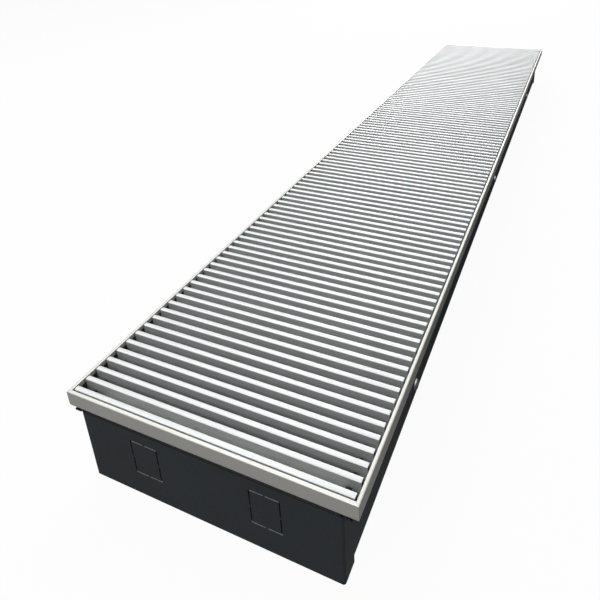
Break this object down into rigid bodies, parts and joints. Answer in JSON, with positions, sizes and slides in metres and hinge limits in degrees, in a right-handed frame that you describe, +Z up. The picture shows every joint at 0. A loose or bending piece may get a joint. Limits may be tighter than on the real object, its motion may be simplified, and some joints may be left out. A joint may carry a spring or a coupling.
{
  "type": "trench convector heater",
  "caption": "Floor trench convector: sheet-steel trough, mitred aluminium frame, roll-up grille of cross bars, finned copper coil inside.",
  "frame": {"origin": "middle of the trough's underside", "axes": "+X along the trough away from the connection end, +Y across it to the flow side, +Z up out of the floor"},
  "size_m": [1.6, 0.3, 0.105],
  "materials": {
    "casing_steel": "anthracite powder coat",
    "frame_aluminium": "natural anodised",
    "bar_aluminium": "natural anodised",
    "zinc_steel": "galvanised",
    "bright_zinc": "bright zinc plated",
    "black_screw": "black zinc",
    "rubber": "matt",
    "spacer_plastic": "matt",
    "cable_steel": "stranded stainless",
    "fin_aluminium": "mill",
    "copper": "dulled copper",
    "brass": "turned brass"
  },
  "bodies": {
    "casing": {"trough": "casing_steel", "end_plate_near": "casing_steel", "end_plate_far": "casing_steel", "frame_side_left": "frame_aluminium", "frame_side_right": "frame_aluminium", "frame_end_near": "frame_aluminium", "frame_end_far": "frame_aluminium", "corner_keys": "zinc_steel", "frame_screws": "black_screw", "damping_strip_left": "rubber", "damping_strip_right": "rubber", "lip_liner_left": "rubber", "lip_liner_right": "rubber", "fins": "fin_aluminium", "coil_tubes": "copper", "return_bends": "copper", "coil_end_plate_near": "zinc_steel", "coil_end_plate_far": "zinc_steel", "flow_union": "brass", "return_union": "brass", "vent_body": "brass", "bracket_near": "zinc_steel", "bracket_middle": "zinc_steel", "bracket_far": "zinc_steel", "coil_pads": "rubber", "wall_bolts": "bright_zinc", "wall_nuts": "bright_zinc", "levelling_nuts": "bright_zinc"},
    "grille": {"grille_bars": "bar_aluminium", "grille_spacers": "spacer_plastic", "grille_cables": "cable_steel", "cable_ferrules": "cable_steel"},
    "vent_screw": {"vent_screw": "brass"},
    "level_near_left": {"levelling_screw_near_left": "bright_zinc"},
    "level_near_right": {"levelling_screw_near_right": "bright_zinc"},
    "level_far_left": {"levelling_screw_far_left": "bright_zinc"},
    "level_far_right": {"levelling_screw_far_right": "bright_zinc"}
  },
  "joints": [
    {"name": "grille_lift", "type": "slide", "parent": "casing", "child": "grille", "axis": [0, 0, 1], "range_m": [0, 0.25]},
    {"name": "vent_turn", "type": "hinge", "parent": "casing", "child": "vent_screw", "pos_m": [-0.6505, 0.064, 0.08], "axis": [0, 0, 1], "range_deg": [0, 360]},
    {"name": "level_near_left_down", "type": "slide", "parent": "casing", "child": "level_near_left", "axis": [0, 0, -1], "range_m": [0, 0.028]},
    {"name": "level_near_right_down", "type": "slide", "parent": "casing", "child": "level_near_right", "axis": [0, 0, -1], "range_m": [0, 0.028]},
    {"name": "level_far_left_down", "type": "slide", "parent": "casing", "child": "level_far_left", "axis": [0, 0, -1], "range_m": [0, 0.028]},
    {"name": "level_far_right_down", "type": "slide", "parent": "casing", "child": "level_far_right", "axis": [0, 0, -1], "range_m": [0, 0.028]}
  ]
}
